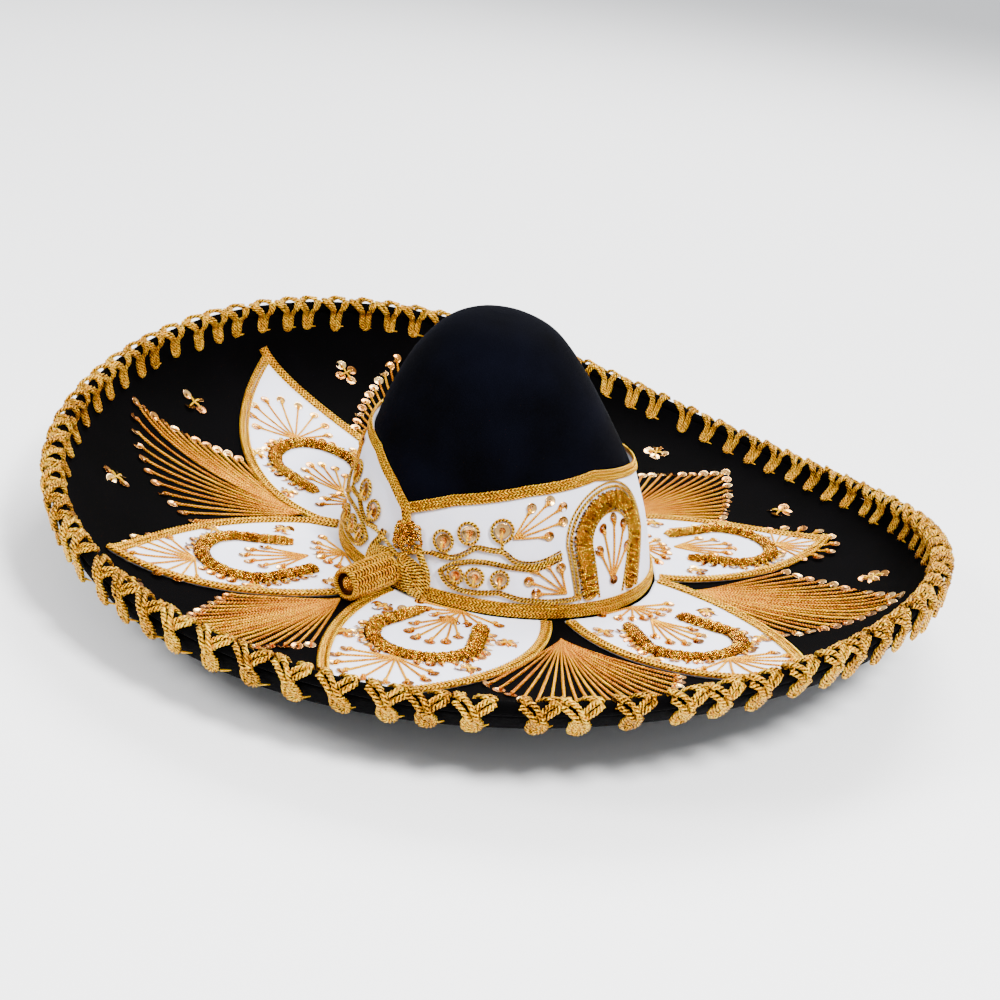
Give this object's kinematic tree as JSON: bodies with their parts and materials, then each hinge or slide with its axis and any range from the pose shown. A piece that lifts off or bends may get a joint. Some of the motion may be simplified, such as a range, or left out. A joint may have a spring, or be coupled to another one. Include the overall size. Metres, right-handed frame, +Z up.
{
  "type": "sombrero",
  "caption": "Wide-brimmed charro sombrero in black velvet, with a turned-up brim, white felt petals and crown band, gold braid, thread fans, sequins and a laced cord edge.",
  "frame": {"origin": "centre of the head opening, on the plane the hat stands on", "axes": "+Z up through the crown, -Y toward the front of the hat, +X toward the wearer's left"},
  "size_m": [0.5886, 0.605, 0.1708],
  "materials": {
    "black_velvet": "short pile velvet with a faint blue sheen",
    "stiff_felt": "hard pressed felt",
    "lining_cloth": "smooth satin lining",
    "sweatband_leather": "smooth dark leather",
    "edge_wire": "drawn wire",
    "white_felt": "matt white felt",
    "gold_braid": "woven chain braid of metallic gold thread",
    "gold_cord": "twisted metallic gold cord",
    "gold_bullion": "padded coils of gold bullion wire",
    "orange_thread": "glossy orange gold embroidery thread",
    "copper_sequin": "metallised copper gold film"
  },
  "bodies": {
    "root": {"band_bottom_braid": "gold_braid", "band_felt": "white_felt", "band_horseshoe_left": "gold_bullion", "band_horseshoe_right": "gold_bullion", "band_rays": "orange_thread", "band_rings": "gold_cord", "band_scrolls": "gold_cord", "band_sequins": "copper_sequin", "band_top_braid": "gold_braid", "brim_board": "stiff_felt", "brim_edge_binding": "black_velvet", "brim_edge_wire": "edge_wire", "brim_top_velvet": "black_velvet", "brim_under_velvet": "black_velvet", "crown_body": "stiff_felt", "crown_lining": "lining_cloth", "crown_velvet": "black_velvet", "edge_cord": "gold_cord", "fan_sequins": "copper_sequin", "flower_sequins": "copper_sequin", "knot_barrel": "gold_braid", "knot_bead": "gold_bullion", "knot_loops": "gold_cord", "knot_rosette": "gold_bullion", "petal_back_left": "white_felt", "petal_back_right": "white_felt", "petal_braid_back_left": "gold_braid", "petal_braid_back_right": "gold_braid", "petal_braid_front_left": "gold_braid", "petal_braid_front_right": "gold_braid", "petal_braid_left": "gold_braid", "petal_braid_right": "gold_braid", "petal_front_left": "white_felt", "petal_front_right": "white_felt", "petal_horseshoe_back_left": "gold_bullion", "petal_horseshoe_back_right": "gold_bullion", "petal_horseshoe_front_left": "gold_bullion", "petal_horseshoe_front_right": "gold_bullion", "petal_horseshoe_left": "gold_bullion", "petal_horseshoe_right": "gold_bullion", "petal_left": "white_felt", "petal_rays": "orange_thread", "petal_right": "white_felt", "petal_sequins": "copper_sequin", "sweatband": "sweatband_leather", "thread_fan_back": "orange_thread", "thread_fan_back_left": "orange_thread", "thread_fan_back_right": "orange_thread", "thread_fan_front": "orange_thread", "thread_fan_front_left": "orange_thread", "thread_fan_front_right": "orange_thread"}
  },
  "joints": []
}
